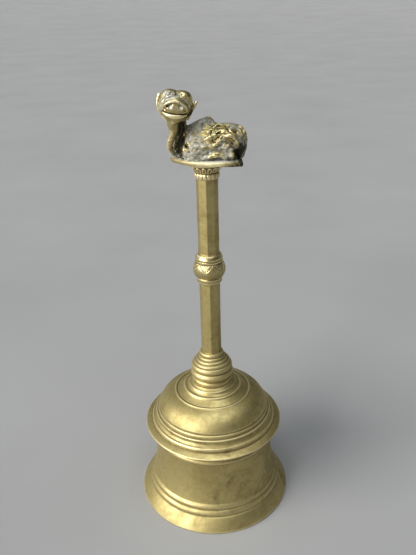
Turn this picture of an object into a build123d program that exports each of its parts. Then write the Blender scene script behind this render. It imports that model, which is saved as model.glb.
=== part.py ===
from build123d import *
import os
from math import sqrt

# Brass hand bell for household worship, standing on its mouth.
# Millimetres. +Z runs up the bell's axis, the mouth plane is z = 0, and -Y is the front.
# Every outline is a list of (radius, height, bulge): bulge is how far the run to the
# next point bows out of the metal, and 0 leaves that run straight.

# --- driving dimensions ---------------------------------------------------------------
MOUTH_R = 40.0          # outside radius of the lip
WAIST_R = 30.5          # the narrowest place, under the shoulder flange
FLANGE_R = 35.7         # crisp edge of the shoulder flange
FLANGE_Z = 44.5
DOME_R = 28.2           # foot of the dome
DOME_Z = 54.3
SEAT_R = 10.2           # flat crown that the handle stands on
SEAT_Z = 68.2
CROWN_INSIDE_Z = 64.8   # ceiling of the hollow
LIP_WALL = 3.4
CROWN_HOLE_R = 2.3

FOOT_TOP_Z = 85.2
KNOP_BASE_Z = 123.4
KNOP_TOP_Z = 138.6
CAPITAL_BASE_Z = 175.0
CAPITAL_TOP_Z = 183.0
PLATE_TOP_Z = 185.0

ROD_R = 2.0             # iron tie rod that holds the whole handle together
ROD_FIT = 0.1           # radial room round the rod in every piece it passes
ROD_TOP_Z = 180.6
SHAFT_CORNER_R = 5.05   # octagonal shafts, to the corners
SHAFT_EDGE_WEAR = 0.35
UPPER_SHAFT_TWIST = -6.4

KNOP_R = 7.8
KNOP_Z = 130.7
ABACUS_R = 9.4
PETALS = 16
PETAL_LEAN = 24
BEADS = 18

NUT_FLATS = 8.0
NUT_HEIGHT = 3.4
WASHER_R = 6.4
WASHER_THICK = 1.4

EYE_WIRE_R = 1.3        # forged eye at the rod's lower end
EYE_R = 3.8             # to the middle of its wire
EYE_Z = 52.6
LINK_WIRE_R = 1.1       # plain ring between eye and clapper
LINK_R = 5.2
LOOP_WIRE_R = 1.2       # loop at the head of the clapper stem
LOOP_R = 3.6
HANG_GAP = 0.15         # room where one ring hangs in another
STEM_R = 1.7
BALL_R = 7.2
BALL_Z = 9.8
BALL_BORE_FIT = 0.05

RIVET_R = 1.25
RIVET_HEAD_R = 1.9
RIVET_HEAD = 1.0
RIVET_DEPTH = 3.2
RIVET_FIT = 0.05
RIVETS = [(-11.7, -1.0), (12.2, -2.0)]

# --- places that follow ---------------------------------------------------------------
EYE_BAR_Z = EYE_Z - EYE_R
LINK_Z = EYE_BAR_Z + EYE_WIRE_R + HANG_GAP + LINK_WIRE_R - LINK_R
LINK_BAR_Z = LINK_Z - LINK_R
LOOP_Z = LINK_BAR_Z + LINK_WIRE_R + HANG_GAP + LOOP_WIRE_R - LOOP_R
WASHER_Z = CROWN_INSIDE_Z - WASHER_THICK
NUT_Z = WASHER_Z - NUT_HEIGHT


# --- helpers --------------------------------------------------------------------------
def run(start, end, bulge):
    """One straight or bowed run of an outline; a positive bulge adds metal."""
    if bulge == 0:
        return Line(start, end)
    along = (end[0] - start[0], end[1] - start[1])
    length = sqrt(along[0] ** 2 + along[1] ** 2)
    middle_x = (start[0] + end[0]) / 2 + along[1] / length * bulge
    middle_z = (start[1] + end[1]) / 2 - along[0] / length * bulge
    return ThreePointArc(start, (middle_x, middle_z), end)


def turned(outline):
    """A closed outline spun about the bell's axis."""
    runs = []
    for (r, z, bulge), (next_r, next_z, _) in zip(outline, outline[1:] + outline[:1]):
        runs.append(run((r, z), (next_r, next_z), bulge))
    return revolve(Plane.XZ * make_face(Curve() + runs), Axis.Z)


def bored(outline, radius=ROD_R + ROD_FIT):
    """An outline that starts and ends at the rod's bore, closed along it."""
    low = (radius, outline[0][1], 0)
    high = (radius, outline[-1][1], 0)
    return turned([low] + outline + [high])


def blob(centre, radii, yaw=0, tilt=0, roll=0):
    """An egg shape: radii along its own X, Y and Z, then turned and placed."""
    return Pos(*centre) * Rot(roll, tilt, yaw) * scale(Sphere(1), by=radii)


def limb(start, end, start_r, end_r):
    """A tapering round limb with rounded ends between two points."""
    axis = Vector(*end) - Vector(*start)
    place = Plane(origin=start, z_dir=axis)
    cone = place * Pos(0, 0, axis.length / 2) * Cone(start_r, end_r, axis.length)
    return cone + Pos(*start) * Sphere(start_r) + Pos(*end) * Sphere(end_r)


def ring(radius, wire_r, centre_z, axis):
    """A closed ring of round wire, its hole facing along axis."""
    return Plane(origin=(0, 0, centre_z), z_dir=axis) * Torus(radius, wire_r)


# --- the bell -------------------------------------------------------------------------
def bell_shell():
    """One hollow casting: flared lip, three turned beads, waist, flange and dome."""
    outside = [
        (MOUTH_R - 0.7, 0, 0.2),
        (MOUTH_R, 0.9, 0.25),
        (35.9, 6.9, 0),
        (35.4, 7.2, 0.45),
        (34.4, 10.1, -0.1),
        (34.1, 10.4, 0.4),
        (33.3, 13.1, -0.1),
        (32.9, 13.7, -0.55),
        (WAIST_R, 33.0, -0.05),
        (WAIST_R + 0.1, 36.2, 0),
        (WAIST_R - 0.1, 36.5, 0.75),
        (WAIST_R + 0.1, 39.3, -0.9),
        (FLANGE_R - 0.4, FLANGE_Z - 0.6, 0.1),
        (FLANGE_R, FLANGE_Z, 0.1),
        (32.7, 46.1, 0),
        (32.2, 46.0, 0.35),
        (31.5, 48.2, 0),
        (31.2, 48.1, -0.5),
        (30.0, 50.9, 0.1),
        (29.7, 51.4, 0),
        (28.9, 51.3, 0.1),
        (28.6, 53.1, 0),
        (28.0, 53.3, 0),
        (DOME_R, DOME_Z, 1.3),
        (19.3, 62.6, 0),
        (18.7, 62.4, 0.15),
        (14.6, 65.0, 0),
        (14.2, 65.5, 0.1),
        (11.8, 66.9, 0),
        (11.4, 67.5, 0.1),
        (SEAT_R, SEAT_Z, 0),
        (CROWN_HOLE_R, SEAT_Z, 0),
    ]
    inside = [
        (CROWN_HOLE_R, CROWN_INSIDE_Z, 0),
        (8.0, CROWN_INSIDE_Z, -1.4),
        (24.9, 54.2, -1.0),
        (27.6, 46.0, -0.3),
        (WAIST_R - 2.7, 36.0, 0.8),
        (30.0, 14.5, 0),
        (MOUTH_R - LIP_WALL - 0.6, 1.0, -0.2),
        (MOUTH_R - LIP_WALL, 0, 0),
    ]
    return turned(outside + inside)


# --- the handle -----------------------------------------------------------------------
def handle_foot():
    """Two rounded rings and a ridged onion bulb under the lower shaft."""
    return bored([
        (9.7, SEAT_Z, 0.35),
        (9.9, 71.0, 0),
        (9.9, 71.2, 1.0),
        (9.9, 75.6, 0),
        (9.9, 76.0, 0.15),
        (10.4, 76.5, 0.25),
        (9.7, 78.5, -0.05),
        (9.4, 78.9, 0.2),
        (8.5, 80.3, -0.05),
        (8.2, 80.6, 0.15),
        (7.3, 81.7, -0.05),
        (7.0, 82.0, 0.1),
        (6.3, 83.1, -0.05),
        (6.1, 83.4, 0.3),
        (5.5, FOOT_TOP_Z, 0),
    ])


def shaft(low_z, high_z, twist):
    """A filed octagonal length of the handle with softened corners."""
    section = RegularPolygon(SHAFT_CORNER_R, 8, rotation=twist)
    bar = extrude(Pos(0, 0, low_z) * section, high_z - low_z)
    bar = fillet(bar.edges().filter_by(Axis.Z), SHAFT_EDGE_WEAR)
    hole = Cylinder(ROD_R + ROD_FIT, high_z - low_z + 2)
    return bar - Pos(0, 0, (low_z + high_z) / 2) * hole


def handle_knop():
    """A ball between two rings, halfway up the handle."""
    return bored([
        (5.3, KNOP_BASE_Z, 0.15),
        (6.15, 125.0, 0),
        (6.0, 125.3, 0.2),
        (6.0, 126.8, 0),
        (5.8, 127.1, 0),
        (6.6, 127.2, 0.3),
        (KNOP_R, KNOP_Z, 0.3),
        (6.6, 134.3, 0),
        (6.2, 134.4, 0.3),
        (6.4, 135.9, 0),
        (6.4, 136.1, 0.15),
        (6.3, 137.1, 0.1),
        (5.4, KNOP_TOP_Z, 0),
    ])


def capital():
    """A beaded ring, a flaring cup of lotus petals and a thin disc on top."""
    core = turned([
        (0, CAPITAL_BASE_Z, 0),
        (5.4, CAPITAL_BASE_Z, 0.3),
        (5.4, 177.0, 0),
        (5.2, 177.4, -0.3),
        (7.2, 181.2, 0),
        (ABACUS_R - 0.2, 181.6, 0.1),
        (ABACUS_R, 182.3, 0.1),
        (ABACUS_R - 0.2, CAPITAL_TOP_Z, 0),
        (0, CAPITAL_TOP_Z, 0),
    ])
    petal = Pos(6.55, 0, 179.5) * Rot(0, PETAL_LEAN, 0) * scale(Sphere(1), by=(0.85, 1.15, 2.2))
    bead = Pos(5.35, 0, 176.0) * Sphere(0.75)
    whole = core
    for k in range(PETALS):
        whole += Rot(0, 0, k * 360 / PETALS) * petal
    for k in range(BEADS):
        whole += Rot(0, 0, (k + 0.5) * 360 / BEADS) * bead
    socket_depth = ROD_TOP_Z + ROD_FIT - CAPITAL_BASE_Z
    socket = Pos(0, 0, CAPITAL_BASE_Z + socket_depth / 2) * Cylinder(ROD_R + ROD_FIT, socket_depth)
    return whole - socket


def figure_plate():
    """A thin cast plate with a rounded nose and a straight right-hand end."""
    right_front = (15.3, -14.9)
    right_back = (15.6, 12.6)
    edge = Spline(
        right_back, (6.0, 13.6), (-6.5, 10.4), (-13.6, 4.6), (-15.8, -1.0),
        (-13.6, -5.9), (-6.5, -12.0), (3.0, -14.8), right_front,
    )
    outline = make_face(Curve() + [edge, Line(right_front, right_back)])
    plate = extrude(Pos(0, 0, CAPITAL_TOP_Z) * outline, PLATE_TOP_Z - CAPITAL_TOP_Z)
    plate = fillet(plate.edges().group_by(Axis.Z)[-1], 0.5)
    for x, y in RIVETS:
        plate -= Pos(x, y, CAPITAL_TOP_Z) * Cylinder(RIVET_R + RIVET_FIT, 10)
    return plate


def bull_figure():
    """A bull lying with folded legs, its head raised at the left and turned to the front."""
    parts = [
        blob((2.5, -1.5, 190.3), (13.6, 11.2, 8.8)),              # barrel of the body
        blob((-4.4, -2.5, 190.0), (8.0, 9.0, 9.0)),               # chest
        blob((1.0, -1.0, 195.7), (6.6, 5.6, 6.0), tilt=-16),      # hump
        blob((9.6, -3.8, 190.4), (7.6, 9.4, 8.8)),                # near haunch
        blob((9.6, 2.2, 190.2), (7.2, 8.0, 8.4)),                 # far haunch
        limb((-6.2, -3.0, 193.0), (-11.0, -5.0, 206.0), 5.2, 4.1),   # neck
        limb((-14.9, -8.2, 190.0), (-12.9, -8.6, 201.5), 1.4, 2.2),  # dewlap
        blob((-11.2, -5.8, 209.0), (6.5, 6.8, 5.2), tilt=8),      # skull
        blob((-12.5, -11.6, 207.0), (4.9, 4.4, 4.3)),             # muzzle
        blob((-12.3, -10.6, 203.4), (4.4, 3.9, 3.4)),             # lower jaw
        limb((-14.2, -9.0, 199.9), (-17.6, -8.6, 203.5), 0.8, 0.9),  # near ear, from the throat
        limb((-17.6, -8.6, 203.5), (-19.1, -8.2, 208.0), 0.9, 0.95),
        limb((-19.1, -8.2, 208.0), (-18.5, -7.8, 212.6), 0.95, 0.9),
        limb((-7.0, -8.4, 202.4), (-3.6, -7.8, 208.7), 1.0, 0.8),    # far ear
        limb((-12.6, -4.8, 187.0), (-3.0, -8.8, 187.2), 2.4, 2.8),   # near foreleg
        limb((-12.6, 2.2, 187.0), (-3.0, 5.6, 187.2), 2.4, 2.6),     # far foreleg
        limb((0.5, -10.8, 187.3), (9.5, -11.2, 187.4), 2.3, 3.0),    # near hind leg
        limb((12.0, -11.2, 193.2), (15.4, -8.5, 188.6), 1.1, 0.8),   # tail
    ]
    whole = parts[0]
    for piece in parts[1:]:
        whole += piece
    room_size = 80
    room = Pos(0, 0, PLATE_TOP_Z + room_size / 2) * Box(room_size, room_size, room_size)
    whole = whole & room
    for x, y in RIVETS:
        hole = Cylinder(RIVET_R + RIVET_FIT, 2 * (RIVET_DEPTH + RIVET_FIT))
        whole -= Pos(x, y, PLATE_TOP_Z) * hole
    return whole


def figure_rivets():
    """Two brass rivets from under the plate into the bull, as one group of solids."""
    shank_length = PLATE_TOP_Z + RIVET_DEPTH - CAPITAL_TOP_Z
    shank = Pos(0, 0, CAPITAL_TOP_Z + shank_length / 2) * Cylinder(RIVET_R, shank_length)
    head = turned([
        (0, CAPITAL_TOP_Z - RIVET_HEAD, 0),
        (RIVET_HEAD_R * 0.6, CAPITAL_TOP_Z - RIVET_HEAD, 0.15),
        (RIVET_HEAD_R, CAPITAL_TOP_Z, 0),
        (0, CAPITAL_TOP_Z, 0),
    ])
    rivet = shank + head
    return Compound([Pos(x, y, 0) * rivet.solid() for x, y in RIVETS])


# --- what holds it together inside ----------------------------------------------------
def tie_rod():
    """Iron rod up the whole handle, drawn down to a forged eye inside the bell."""
    low_z = EYE_Z + EYE_R
    rod = Pos(0, 0, (low_z + ROD_TOP_Z) / 2) * Cylinder(ROD_R, ROD_TOP_Z - low_z)
    rod = chamfer(rod.edges().group_by(Axis.Z)[-1], 0.5)
    neck = Pos(0, 0, low_z - 0.1) * Cone(EYE_WIRE_R, ROD_R, 1.8)
    return rod + neck + ring(EYE_R, EYE_WIRE_R, EYE_Z, (1, 0, 0))


def crown_washer():
    """Plain round washer against the ceiling of the hollow."""
    return turned([
        (ROD_R + ROD_FIT, WASHER_Z, 0),
        (WASHER_R - 0.2, WASHER_Z, 0.05),
        (WASHER_R, WASHER_Z + 0.2, 0),
        (WASHER_R, CROWN_INSIDE_Z, 0),
        (ROD_R + ROD_FIT, CROWN_INSIDE_Z, 0),
    ])


def crown_nut():
    """Square forged nut that pulls the rod and the bell together."""
    nut = Pos(0, 0, NUT_Z + NUT_HEIGHT / 2) * Box(NUT_FLATS, NUT_FLATS, NUT_HEIGHT)
    nut = chamfer(nut.edges().filter_by(Axis.Z), 0.9)
    nut = chamfer(nut.edges().group_by(Axis.Z)[0], 0.4)
    return nut - Pos(0, 0, NUT_Z) * Cylinder(ROD_R + ROD_FIT, 4 * NUT_HEIGHT)


# --- the clapper ----------------------------------------------------------------------
def clapper_link():
    """Closed iron ring that hangs in the rod's eye."""
    return ring(LINK_R, LINK_WIRE_R, LINK_Z, (0, 1, 0))


def clapper_stem():
    """Iron stem: a loop at its head, a shoulder above the ball, a headed end below."""
    neck_z = LOOP_Z - LOOP_R
    shoulder_z = BALL_Z + BALL_R - 0.3
    stem = turned([
        (0, BALL_Z - BALL_R - 1.1, 0),
        (1.6, BALL_Z - BALL_R - 1.1, 0.2),
        (2.5, BALL_Z - BALL_R + 0.35, 0),
        (STEM_R, BALL_Z - BALL_R + 0.35, 0),
        (STEM_R, shoulder_z, 0),
        (2.6, shoulder_z, 0.2),
        (2.4, shoulder_z + 1.3, 0),
        (STEM_R, shoulder_z + 2.0, 0),
        (LOOP_WIRE_R + 0.1, neck_z, 0),
        (0, neck_z, 0),
    ])
    return stem + ring(LOOP_R, LOOP_WIRE_R, LOOP_Z, (1, 0, 0))


def clapper_ball():
    """Brass ball, flattened where it meets the stem's shoulder and headed end."""
    low_z = BALL_Z - BALL_R + 0.35
    high_z = BALL_Z + BALL_R - 0.3
    ball = Pos(0, 0, BALL_Z) * Sphere(BALL_R)
    slab = Pos(0, 0, (low_z + high_z) / 2) * Box(4 * BALL_R, 4 * BALL_R, high_z - low_z)
    return ball & slab - Pos(0, 0, BALL_Z) * Cylinder(STEM_R + BALL_BORE_FIT, 4 * BALL_R)


NODES = {
    "bell_shell": bell_shell(),
    "handle_foot": handle_foot(),
    "lower_shaft": shaft(FOOT_TOP_Z, KNOP_BASE_Z, 0),
    "handle_knop": handle_knop(),
    "upper_shaft": shaft(KNOP_TOP_Z, CAPITAL_BASE_Z, UPPER_SHAFT_TWIST),
    "capital": capital(),
    "figure_plate": figure_plate(),
    "bull_figure": bull_figure(),
    "figure_rivets": figure_rivets(),
    "tie_rod": tie_rod(),
    "crown_washer": crown_washer(),
    "crown_nut": crown_nut(),
    "clapper_link": clapper_link(),
    "clapper_stem": clapper_stem(),
    "clapper_ball": clapper_ball(),
}

os.makedirs("parts", exist_ok=True)
for name, shape in NODES.items():
    export_step(shape, f"parts/{name}.step")
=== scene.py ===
import math

import bpy
import numpy as np
import openvdb
from mathutils import Matrix, Vector


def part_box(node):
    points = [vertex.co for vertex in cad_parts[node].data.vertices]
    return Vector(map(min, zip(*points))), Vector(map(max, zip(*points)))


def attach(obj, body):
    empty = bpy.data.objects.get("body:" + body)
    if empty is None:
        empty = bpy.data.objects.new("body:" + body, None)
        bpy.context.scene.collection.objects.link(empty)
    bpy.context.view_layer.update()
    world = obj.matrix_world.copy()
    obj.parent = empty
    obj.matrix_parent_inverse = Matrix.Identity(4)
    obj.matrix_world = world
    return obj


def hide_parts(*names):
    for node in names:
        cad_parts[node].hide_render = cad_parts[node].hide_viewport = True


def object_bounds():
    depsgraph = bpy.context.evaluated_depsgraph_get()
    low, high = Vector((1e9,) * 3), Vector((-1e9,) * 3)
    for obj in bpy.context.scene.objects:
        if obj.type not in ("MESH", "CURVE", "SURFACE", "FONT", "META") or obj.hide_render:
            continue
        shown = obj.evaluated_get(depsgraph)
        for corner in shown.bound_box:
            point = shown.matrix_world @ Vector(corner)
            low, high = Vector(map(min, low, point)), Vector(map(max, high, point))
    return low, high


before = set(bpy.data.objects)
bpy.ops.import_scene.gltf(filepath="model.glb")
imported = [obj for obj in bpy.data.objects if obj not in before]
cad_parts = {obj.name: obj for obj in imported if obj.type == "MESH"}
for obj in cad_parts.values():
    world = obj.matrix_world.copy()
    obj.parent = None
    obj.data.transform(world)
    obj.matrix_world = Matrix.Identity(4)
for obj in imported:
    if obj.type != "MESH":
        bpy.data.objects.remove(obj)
CAD_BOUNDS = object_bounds()
MM = 0.001

# Outlines are lists of (radius, height, bulge) in millimetres: bulge is how far the run
# to the next point bows out of the metal. Reliefs are depths in millimetres, cut below 0.

LIP_R = CAD_BOUNDS[1][0] / MM
SEAT_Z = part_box("bell_shell")[1].z / MM
FOOT_TOP_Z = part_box("handle_foot")[1].z / MM
KNOP_BASE_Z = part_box("handle_knop")[0].z / MM
KNOP_TOP_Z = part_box("handle_knop")[1].z / MM
CAPITAL_BASE_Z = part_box("capital")[0].z / MM
PLATE_BASE_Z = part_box("figure_plate")[0].z / MM
PLATE_TOP_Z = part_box("figure_plate")[1].z / MM
ROD_HOLE_R = 2.1
FRONT = -math.pi / 2


# --- camera, light and floor ---
CAMERA_AT = Vector((-0.00075, -0.2604, 0.2478))
CAMERA_DOWN = math.radians(25.14)
CAMERA_LEAN = math.radians(1.6)
CAMERA_LENS = 38.92
LIGHTS_AIM = (0, 0, 0.08)
WINDOW_FROM = (-0.86, -0.55, 0.38)
CEILING_FROM = (0.05, -0.18, 1.0)
FLOOR_RADII = np.array([0.5, 1, 2, 3, 4, 6, 8, 11, 14, 17, 20])
FLAT_FLOOR_R = 2
FLOOR_RISE = 0.011
FLOOR_GREYS = [(0.3, (0.32, 0.32, 0.32)), (0.7, (0.35, 0.35, 0.35))]


def camera():
    """The photographer's view: from the front, above, and turned a little."""
    data = bpy.data.cameras.new("camera")
    data.lens = CAMERA_LENS
    data.sensor_width = 36.0
    data.clip_start = 0.01
    eye = bpy.data.objects.new("camera", data)
    bpy.context.scene.collection.objects.link(eye)
    upright = Matrix.Rotation(math.pi / 2 - CAMERA_DOWN, 4, "X")
    lean = Matrix.Rotation(-CAMERA_LEAN, 4, "Z")
    eye.matrix_world = Matrix.Translation(CAMERA_AT) @ upright @ lean
    bpy.context.scene.camera = eye


def lamp(name, place, power, spread_degrees, colour):
    """A broad, soft light from one direction."""
    data = bpy.data.lights.new(name, "SUN")
    data.energy = power
    data.color = colour
    data.angle = math.radians(spread_degrees)
    made = bpy.data.objects.new(name, data)
    bpy.context.scene.collection.objects.link(made)
    aim = (Vector(LIGHTS_AIM) - Vector(place)).to_track_quat("-Z", "Y")
    made.matrix_world = Matrix.Translation(place) @ aim.to_matrix().to_4x4()


def studio():
    """A plain room, lighter on the left, with a low window light and a ceiling light."""
    world = bpy.data.worlds.new("studio")
    world.use_nodes = True
    tree = world.node_tree
    place = tree.nodes.new("ShaderNodeTexCoord")
    split = tree.nodes.new("ShaderNodeSeparateXYZ")
    room = tree.nodes.new("ShaderNodeMapRange")
    tree.links.new(place.outputs["Generated"], split.inputs["Vector"])
    tree.links.new(split.outputs["X"], room.inputs["Value"])
    levels = {"From Min": -0.9, "From Max": 0.5, "To Min": 0.35, "To Max": 0.02}
    for socket, value in levels.items():
        room.inputs[socket].default_value = value
    sky = tree.nodes["Background"]
    sky.inputs["Color"].default_value = (0.60, 0.62, 0.66, 1)
    tree.links.new(room.outputs["Result"], sky.inputs["Strength"])
    bpy.context.scene.world = world
    bpy.context.scene.view_settings.view_transform = "Standard"
    bpy.context.scene.view_settings.look = "Medium High Contrast"
    lamp("window_light", WINDOW_FROM, 5.4, 55, (1, 0.975, 0.93))
    lamp("ceiling_light", CEILING_FROM, 1.5, 50, (0.93, 0.97, 1.0))


def floor():
    """A plain floor that is flat under the bell and rises very gently far away."""
    around = 96
    heights = FLOOR_RISE * np.clip(FLOOR_RADII - FLAT_FLOOR_R, 0, None) ** 2
    angle = np.arange(around) * 2 * math.pi / around
    circle = np.stack([np.cos(angle), np.sin(angle), np.zeros(around)], 1)
    rings = [r * circle + (0, 0, h) for r, h in zip(FLOOR_RADII, heights)]
    faces = [tuple(range(around))]
    for row in range(len(rings) - 1):
        for k in range(around):
            near, far, step = row * around, (row + 1) * around, (k + 1) % around
            faces.append((near + k, far + k, far + step, near + step))
    mesh = bpy.data.meshes.new("floor")
    mesh.from_pydata(np.concatenate(rings).tolist(), [], faces)
    mesh.polygons.foreach_set("use_smooth", [True] * len(faces))
    ground = bpy.data.objects.new("floor", mesh)
    bpy.context.scene.collection.objects.link(ground)
    material, nodes = new_material("pale_floor")
    nodes.shader.inputs["Roughness"].default_value = 0.85
    cloud = nodes.noise(nodes.place, 6.0, 3.0, 0.5)
    nodes.link(nodes.ramp(cloud, FLOOR_GREYS), nodes.shader, "Base Color")
    mesh.materials.append(material)


# --- materials ---
class Nodes:
    """A few short calls for wiring one node material."""

    def __init__(self, tree):
        self.tree = tree
        self.shader = tree.nodes["Principled BSDF"]
        self.place = tree.nodes.new("ShaderNodeTexCoord").outputs["Object"]

    def link(self, output, node, socket):
        self.tree.links.new(output, node.inputs[socket])

    def attribute(self, name):
        node = self.tree.nodes.new("ShaderNodeAttribute")
        node.attribute_name = name
        return node.outputs["Fac"]

    def stretched(self, scale):
        node = self.tree.nodes.new("ShaderNodeMapping")
        node.inputs["Scale"].default_value = scale
        self.link(self.place, node, "Vector")
        return node.outputs["Vector"]

    def noise(self, vector, scale, detail, roughness, distortion=0.0):
        node = self.tree.nodes.new("ShaderNodeTexNoise")
        node.inputs["Scale"].default_value = scale
        node.inputs["Detail"].default_value = detail
        node.inputs["Roughness"].default_value = roughness
        node.inputs["Distortion"].default_value = distortion
        self.link(vector, node, "Vector")
        return node.outputs["Fac"]

    def cells(self, scale):
        node = self.tree.nodes.new("ShaderNodeTexVoronoi")
        node.inputs["Scale"].default_value = scale
        self.link(self.place, node, "Vector")
        return node.outputs["Distance"]

    def math(self, operation, first, second, clamp):
        node = self.tree.nodes.new("ShaderNodeMath")
        node.operation = operation
        node.use_clamp = clamp
        for socket, value in zip(node.inputs, (first, second)):
            if isinstance(value, (int, float)):
                socket.default_value = value
            else:
                self.tree.links.new(value, socket)
        return node.outputs["Value"]

    def plus(self, first, second, clamp=False):
        return self.math("ADD", first, second, clamp)

    def minus(self, first, second, clamp=False):
        return self.math("SUBTRACT", first, second, clamp)

    def times(self, first, second, clamp=False):
        return self.math("MULTIPLY", first, second, clamp)

    def spread(self, value, low, high, to_low=0.0, to_high=1.0):
        node = self.tree.nodes.new("ShaderNodeMapRange")
        node.interpolation_type = "SMOOTHSTEP"
        node.inputs["From Min"].default_value = low
        node.inputs["From Max"].default_value = high
        node.inputs["To Min"].default_value = to_low
        node.inputs["To Max"].default_value = to_high
        self.link(value, node, "Value")
        return node.outputs["Result"]

    def ramp(self, value, stops):
        node = self.tree.nodes.new("ShaderNodeValToRGB")
        points = node.color_ramp.elements
        while len(points) < len(stops):
            points.new(0.5)
        for point, (position, colour) in zip(points, stops):
            point.position = position
            point.color = (*colour, 1)
        self.link(value, node, "Fac")
        return node.outputs["Color"]

    def mix(self, share, first, second):
        node = self.tree.nodes.new("ShaderNodeMix")
        node.data_type = "RGBA"
        self.link(share, node, "Factor")
        for socket, value in (("A", first), ("B", second)):
            target = [i for i in node.inputs if i.name == socket and i.type == "RGBA"][0]
            if isinstance(value, tuple):
                target.default_value = (*value, 1)
            else:
                self.tree.links.new(value, target)
        return [o for o in node.outputs if o.type == "RGBA"][0]

    def bump(self, height, distance, strength, normal=None):
        node = self.tree.nodes.new("ShaderNodeBump")
        node.inputs["Distance"].default_value = distance
        node.inputs["Strength"].default_value = strength
        self.link(height, node, "Height")
        if normal is not None:
            self.link(normal, node, "Normal")
        return node.outputs["Normal"]


def new_material(name):
    material = bpy.data.materials.new(name)
    material.use_nodes = True
    return material, Nodes(material.node_tree)


GOLD = (0.49, 0.415, 0.20)
OLIVE = (0.365, 0.30, 0.137)
BROWN = (0.14, 0.10, 0.042)
SOOT = (0.055, 0.042, 0.022)
# Pale cream for rubbed brass, also used as painted highlights.
RUBBED_AND_HIGHLIGHT = (0.90, 0.79, 0.50)
# Near black for grime and painted shade.
GRIME_AND_SHADE = (0.024, 0.025, 0.017)
DUST = [
    (0.33, (0.07, 0.068, 0.05)),
    (0.44, (0.21, 0.20, 0.155)),
    (0.56, (0.36, 0.35, 0.295)),
    (0.72, (0.74, 0.74, 0.69)),
]
IRON_SKIN = [
    (0.35, (0.075, 0.045, 0.028)),
    (0.52, (0.14, 0.115, 0.095)),
    (0.70, (0.23, 0.21, 0.19)),
]
BRASS_METALLIC = 0.86


def brass(name, *, tarnish, roughness, pits, lines=0, ash=0, grime_and_shade=0, rub_and_highlight=0.5):
    """Old brass: cloudy tarnish, soot in hollows, pits, ash, rubbed edges with painted highlights,
    grime with painted shade.
    """
    material, nodes = new_material(name)
    shader = nodes.shader
    hollow = nodes.attribute("hollow")
    ridge_and_highlight = nodes.attribute("ridge_and_highlight")
    cloud = nodes.noise(nodes.place, 75.0, 5.0, 0.62, 0.6)
    mottle = nodes.noise(nodes.place, 620.0, 4.0, 0.6)
    grain = nodes.noise(nodes.place, 3200.0, 3.0, 0.6)
    patchy = nodes.plus(nodes.times(cloud, 0.7), nodes.times(mottle, 0.3))
    colour = nodes.ramp(patchy, [(0.38, OLIVE), (0.56, GOLD), (0.72, GOLD)])
    blotch = nodes.noise(nodes.place, 38.0, 7.0, 0.7, 1.2)
    stain = nodes.spread(blotch, 0.66 - 0.22 * tarnish, 0.80 - 0.12 * tarnish)
    stain = nodes.times(stain, 0.75)
    colour = nodes.mix(stain, colour, BROWN)
    uneven = nodes.spread(mottle, 0.25, 0.6, 0.3, 0.75)
    soot = nodes.times(nodes.spread(hollow, 0.1, 0.9), uneven)
    colour = nodes.mix(soot, colour, SOOT)
    # Ridges mixed toward pale cream: rubbed edges and painted highlights along them.
    rubbed_and_highlight = nodes.times(nodes.spread(ridge_and_highlight, 0.15, 0.9), rub_and_highlight)
    colour = nodes.mix(rubbed_and_highlight, colour, RUBBED_AND_HIGHLIGHT)
    speck = nodes.spread(nodes.cells(520.0), 0.16, 0.05)
    speck = nodes.times(speck, nodes.spread(cloud, 0.45, 0.62, 0.0, pits))
    colour = nodes.mix(speck, colour, SOOT)
    rough = nodes.spread(patchy, 0.35, 0.65, roughness + 0.14, roughness - 0.03)
    rough = nodes.plus(rough, nodes.times(soot, 0.3))
    rough = nodes.minus(rough, nodes.times(rubbed_and_highlight, 0.16), True)
    metal = nodes.minus(BRASS_METALLIC, nodes.times(soot, 0.6), True)
    metal = nodes.minus(metal, nodes.times(rubbed_and_highlight, 0.3), True)
    # Darkens toward near black where the mesh asks: real grime, and painted shade.
    if grime_and_shade > 0:
        grime_and_shade_share = nodes.plus(nodes.attribute("grime_and_shade"), nodes.spread(mottle, 0.3, 0.7, -0.3, 0.3))
        grime_and_shade_share = nodes.times(nodes.spread(grime_and_shade_share, 0.25, 0.75), grime_and_shade, True)
        colour = nodes.mix(nodes.times(grime_and_shade_share, 0.92), colour, GRIME_AND_SHADE)
        rough = nodes.plus(rough, nodes.times(grime_and_shade_share, 0.12), True)
    if ash > 0:
        caked = nodes.plus(nodes.attribute("ash"), nodes.spread(mottle, 0.3, 0.7, -0.25, 0.25))
        caked = nodes.times(nodes.spread(caked, 0.35, 0.65), ash, True)
        streak = nodes.noise(nodes.stretched((1.0, 1.0, 1.5)), 520.0, 7.0, 0.72, 0.35)
        streak = nodes.plus(streak, nodes.spread(nodes.attribute("ash"), 1.1, 1.9, 0.0, 0.25))
        colour = nodes.mix(caked, colour, nodes.ramp(streak, DUST))
        rough = nodes.plus(rough, nodes.times(caked, 0.45), True)
        metal = nodes.minus(metal, nodes.times(caked, 0.85), True)
    nodes.link(colour, shader, "Base Color")
    nodes.link(rough, shader, "Roughness")
    nodes.link(metal, shader, "Metallic")
    normal = nodes.bump(nodes.noise(nodes.place, 260.0, 4.0, 0.55), 0.0006, 0.12)
    normal = nodes.bump(grain, 0.00012, 0.25, normal)
    normal = nodes.bump(nodes.minus(1.0, speck), 0.0002, 0.5, normal)
    if lines > 0:
        turned_marks = nodes.noise(nodes.stretched((30.0, 30.0, 5200.0)), 1.0, 3.0, 0.65)
        normal = nodes.bump(turned_marks, 0.0001, lines, normal)
    nodes.link(normal, shader, "Normal")
    return material


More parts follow.
